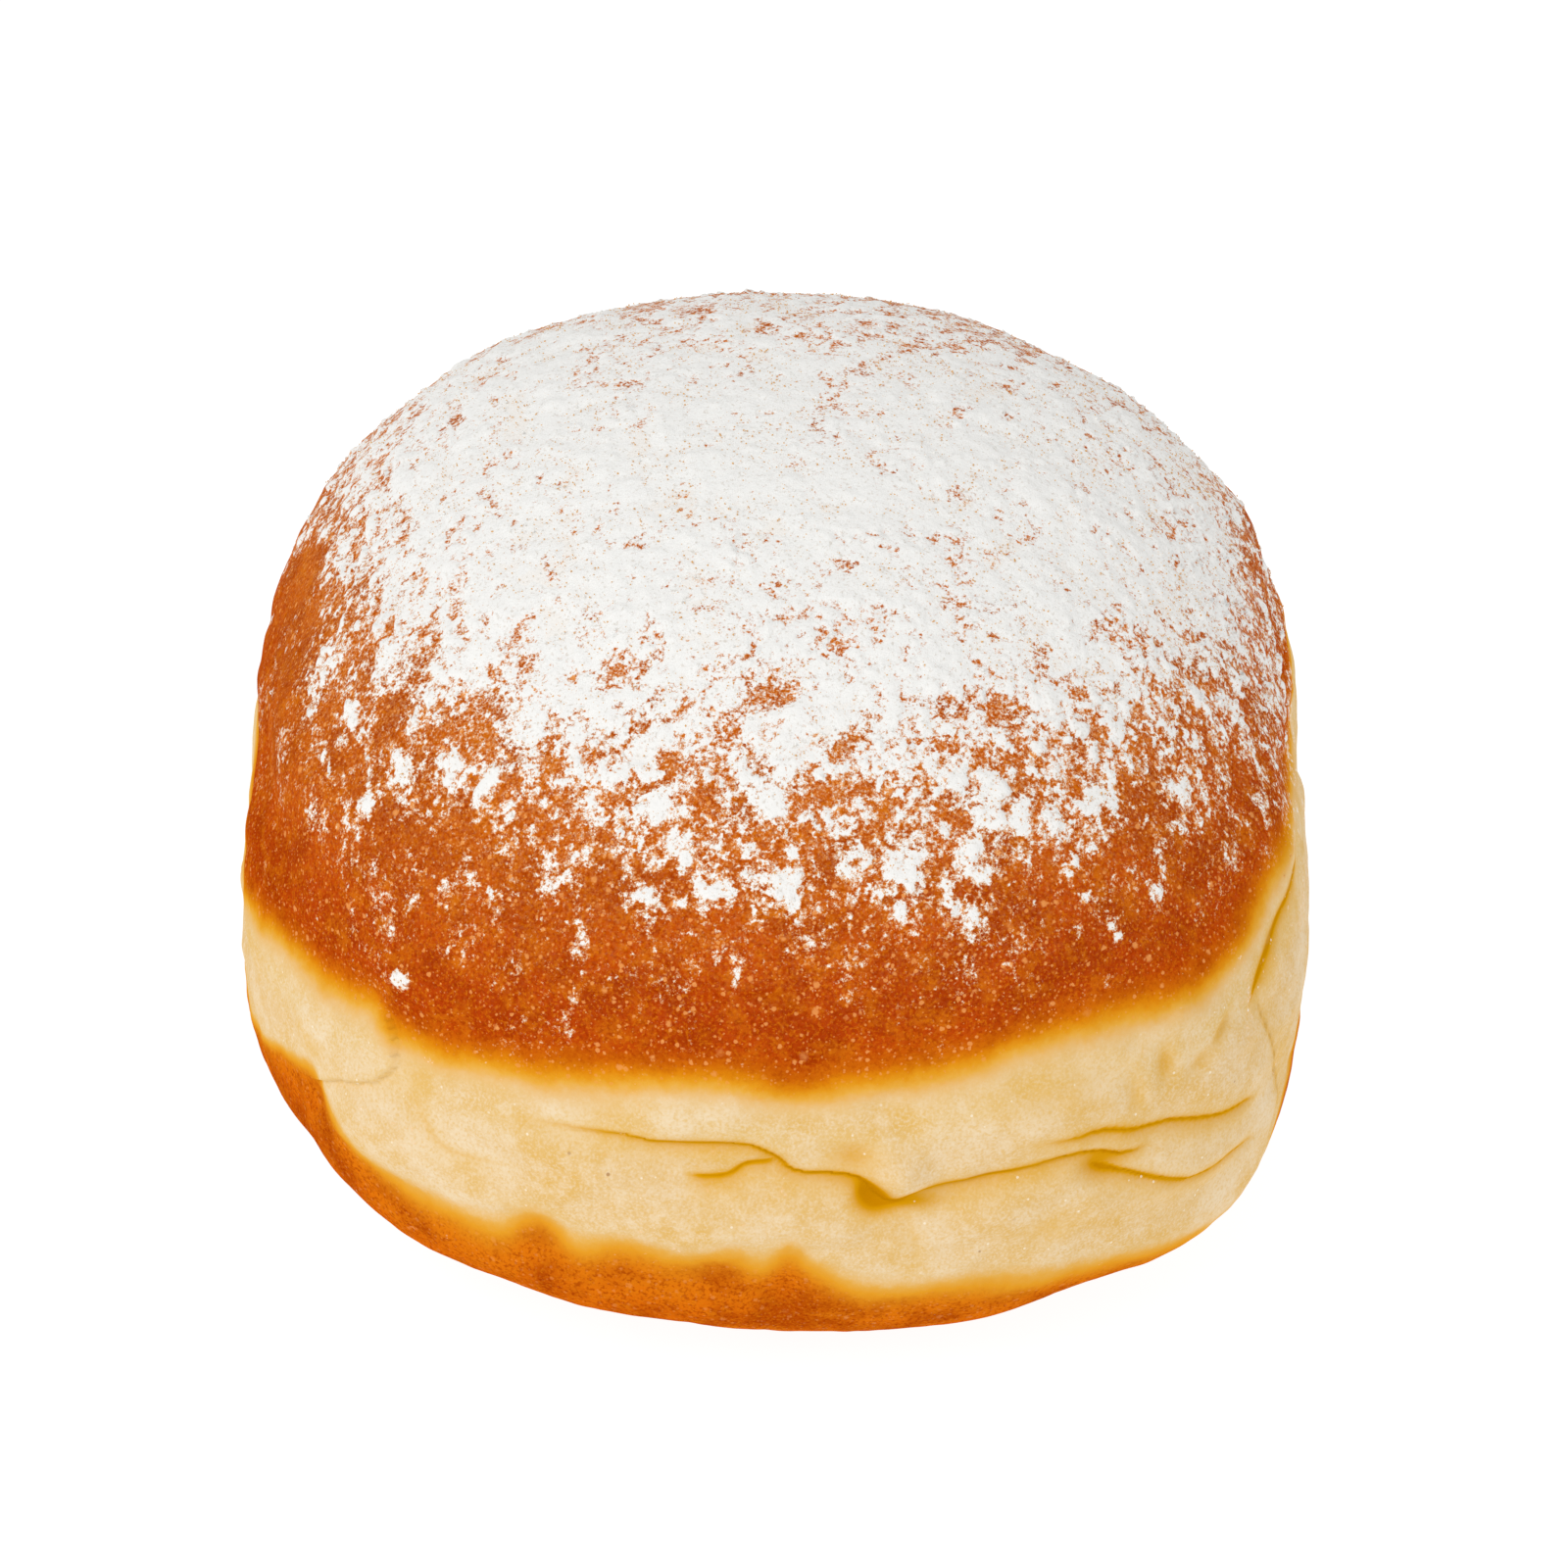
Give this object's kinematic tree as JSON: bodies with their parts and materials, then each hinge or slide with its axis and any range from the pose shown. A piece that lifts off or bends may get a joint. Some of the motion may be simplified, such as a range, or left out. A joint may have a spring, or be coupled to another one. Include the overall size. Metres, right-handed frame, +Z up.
{
  "type": "filled doughnut",
  "caption": "Round filled doughnut without a hole: a browned dome, a pale folded belt and a flat browned base to rest on.",
  "frame": {"origin": "middle of the base of the bounding box, on the surface that the doughnut rests on", "axes": "+Z up; -Y towards the side that carries the hanging nose of dough, which the picture shows; +X to the right of that side"},
  "size_m": [0.0824, 0.092, 0.0554],
  "materials": {
    "crust": "fried dough: orange-brown satin crust on the dome and the base, pale cream soft dough round the belt",
    "icing_sugar": "matt white icing sugar dusted on the dome, packed white at its top and thinning to grains and small lumps lower down"
  },
  "bodies": {
    "root": {"doughnut": "crust"}
  },
  "joints": []
}
